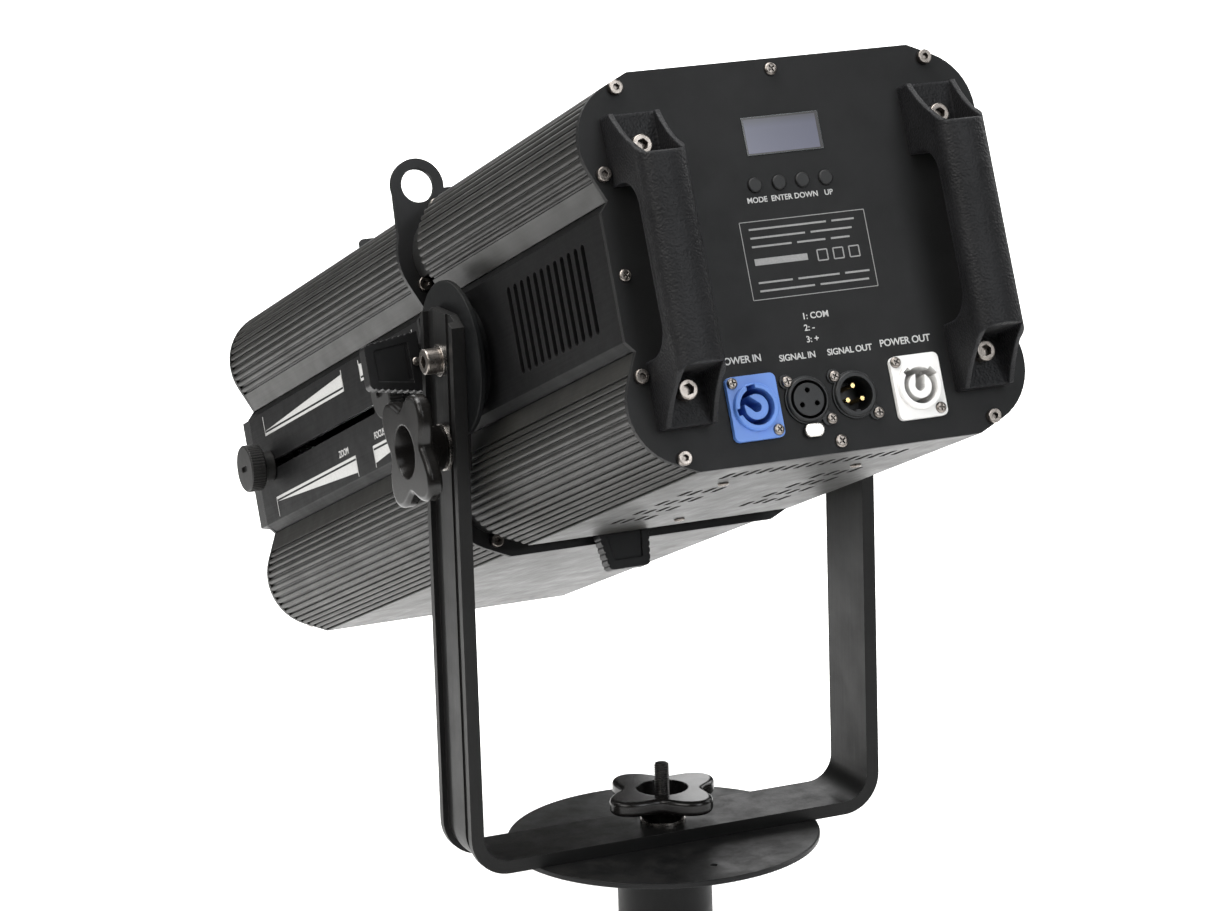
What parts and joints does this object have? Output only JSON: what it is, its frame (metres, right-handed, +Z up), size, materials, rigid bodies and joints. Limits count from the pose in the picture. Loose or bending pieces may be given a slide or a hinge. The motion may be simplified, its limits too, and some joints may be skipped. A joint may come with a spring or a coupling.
{
  "type": "ellipsoidal spotlight",
  "caption": "LED profile spotlight: ribbed black head in a tilting yoke on a round stand plate, with shutters, zoom, focus, colour frame, handles and a rear control panel.",
  "frame": {"origin": "centre of the mouth of the stand socket, on the pan axis", "axes": "+Z up the pan axis, +Y towards the lens end of the head, +X to the right seen from the rear panel"},
  "size_m": [0.28, 0.6127, 0.5076],
  "materials": {
    "housing_black": "satin black anodised extrusion",
    "panel_black": "matte black fine texture powder coat",
    "gate_black": "satin black powder coat on aluminium",
    "yoke_black": "satin black powder coat",
    "stand_black": "satin black powder coat on steel",
    "handle_plastic": "coarse textured black",
    "knob_plastic": "satin black moulded",
    "grip_plastic": "black moulded",
    "stainless": "turned stainless",
    "black_steel": "blackened sheet steel",
    "bare_steel": "bare sheet steel",
    "zinc": "plated",
    "gold": "gold plated pins",
    "socket_blue": "blue moulded",
    "socket_white": "off white moulded",
    "socket_black": "black moulded",
    "lens_glass": "polished optical glass",
    "display_glass": "tinted display window",
    "alu": "bare aluminium",
    "circuit": "green circuit board",
    "led_ceramic": "light emitting array"
  },
  "bodies": {
    "stand": {"stand_socket_tube": "stand_black", "stand_plate": "stand_black", "stand_stud": "black_steel"},
    "yoke": {"yoke": "yoke_black", "washers": "stainless", "tilt_clamp_plate": "black_steel"},
    "zoom_carriage": {"zoom_carriage": "alu", "zoom_lens": "lens_glass"},
    "focus_carriage": {"focus_carriage": "alu", "focus_lens": "lens_glass"},
    "pan_knob": {"pan_knob": "knob_plastic"},
    "tilt_lock_knob": {"tilt_lock_knob": "knob_plastic"},
    "fan_rotor": {"fan_rotor": "knob_plastic"},
    "signal_latch": {"signal_latch": "zinc"},
    "colour_frame": {"colour_frame": "gate_black"},
    "zoom_knob": {"zoom_knob": "knob_plastic"},
    "focus_knob": {"focus_knob": "knob_plastic"},
    "shutter_left": {"shutter_blade_left": "bare_steel", "shutter_grip_left": "grip_plastic"},
    "shutter_right": {"shutter_blade_right": "bare_steel", "shutter_grip_right": "grip_plastic"},
    "shutter_top": {"shutter_blade_top": "bare_steel", "shutter_grip_top": "grip_plastic"},
    "shutter_bottom": {"shutter_blade_bottom": "bare_steel", "shutter_grip_bottom": "grip_plastic"},
    "button_mode": {"button_mode": "grip_plastic"},
    "button_enter": {"button_enter": "grip_plastic"},
    "button_down": {"button_down": "grip_plastic"},
    "button_up": {"button_up": "grip_plastic"},
    "head": {"cap_screws": "stainless", "colour_frame_holder": "gate_black", "condenser_lens": "lens_glass", "control_board": "circuit", "corner_spacers": "gate_black", "cross_screws": "stainless", "display_window": "display_glass", "fan_frame": "knob_plastic", "front_plate": "gate_black", "front_shell_lower": "housing_black", "front_shell_upper": "housing_black", "front_side_panels": "housing_black", "gate_plate": "gate_black", "guide_rods": "stainless", "handles": "handle_plastic", "heatsink": "alu", "led_board": "led_ceramic", "light_bulkhead": "gate_black", "light_hood": "gate_black", "pivot_discs": "yoke_black", "power_in_socket": "socket_blue", "power_out_socket": "socket_white", "power_supply": "alu", "rear_panel": "panel_black", "rear_shell_lower": "housing_black", "rear_shell_upper": "housing_black", "rear_side_panels": "housing_black", "shutter_guides": "black_steel", "signal_in_socket": "socket_black", "signal_out_socket": "socket_black", "signal_pins": "gold"}
  },
  "joints": [
    {"name": "pan", "type": "hinge", "parent": "stand", "child": "yoke", "pos_m": [0, 0, 0.085], "axis": [0, 0, 1], "continuous": true},
    {"name": "pan_knob_turn", "type": "hinge", "parent": "stand", "child": "pan_knob", "pos_m": [0, 0, 0.1], "axis": [0, 0, 1], "range_deg": [-30, 405]},
    {"name": "tilt", "type": "hinge", "parent": "yoke", "child": "head", "pos_m": [0, 0, 0.3473], "axis": [1, 0, 0], "range_deg": [-10, 110]},
    {"name": "tilt_lock_turn", "type": "hinge", "parent": "yoke", "child": "tilt_lock_knob", "pos_m": [-0.118, 0, 0.3023], "axis": [-1, 0, 0], "range_deg": [-30, 405]},
    {"name": "shutter_left_slide", "type": "slide", "parent": "head", "child": "shutter_left", "axis": [1, 0, 0], "range_m": [0, 0.045]},
    {"name": "shutter_right_slide", "type": "slide", "parent": "head", "child": "shutter_right", "axis": [-1, 0, 0], "range_m": [0, 0.045]},
    {"name": "shutter_bottom_slide", "type": "slide", "parent": "head", "child": "shutter_bottom", "axis": [0, 0.3668, 0.9303], "range_m": [-0.026, 0.019]},
    {"name": "shutter_top_slide", "type": "slide", "parent": "head", "child": "shutter_top", "axis": [0, -0.3668, -0.9303], "range_m": [-0.022, 0.023]},
    {"name": "zoom_slide", "type": "slide", "parent": "head", "child": "zoom_carriage", "axis": [0, 0.9303, -0.3668], "range_m": [-0.172, 0.004]},
    {"name": "zoom_knob_turn", "type": "hinge", "parent": "zoom_carriage", "child": "zoom_knob", "pos_m": [-0.101, 0.30234, 0.22808], "axis": [-1, 0, 0], "range_deg": [-30, 405]},
    {"name": "focus_slide", "type": "slide", "parent": "head", "child": "focus_carriage", "axis": [0, 0.9303, -0.3668], "range_m": [-0.009, 0.042]},
    {"name": "focus_knob_turn", "type": "hinge", "parent": "focus_carriage", "child": "focus_knob", "pos_m": [-0.101, 0.08466, 0.31392], "axis": [-1, 0, 0], "range_deg": [-30, 405]},
    {"name": "colour_frame_slide", "type": "slide", "parent": "head", "child": "colour_frame", "axis": [0, 0.3668, 0.9303], "range_m": [0, 0.2]},
    {"name": "press_mode", "type": "slide", "parent": "head", "child": "button_mode", "axis": [0, 0.9303, -0.3668], "range_m": [0, 0.001], "stiffness_N_per_m": 400, "springref_m": -0.001},
    {"name": "press_enter", "type": "slide", "parent": "head", "child": "button_enter", "axis": [0, 0.9303, -0.3668], "range_m": [0, 0.001], "stiffness_N_per_m": 400, "springref_m": -0.001},
    {"name": "press_down", "type": "slide", "parent": "head", "child": "button_down", "axis": [0, 0.9303, -0.3668], "range_m": [0, 0.001], "stiffness_N_per_m": 400, "springref_m": -0.001},
    {"name": "press_up", "type": "slide", "parent": "head", "child": "button_up", "axis": [0, 0.9303, -0.3668], "range_m": [0, 0.001], "stiffness_N_per_m": 400, "springref_m": -0.001},
    {"name": "latch_press", "type": "slide", "parent": "head", "child": "signal_latch", "axis": [0, 0.9303, -0.3668], "range_m": [0, 0.0014], "stiffness_N_per_m": 900, "springref_m": -0.001},
    {"name": "fan_spin", "type": "hinge", "parent": "head", "child": "fan_rotor", "pos_m": [0, -0.09448, 0.3953], "axis": [0, 0.9303, -0.3668], "continuous": true}
  ]
}
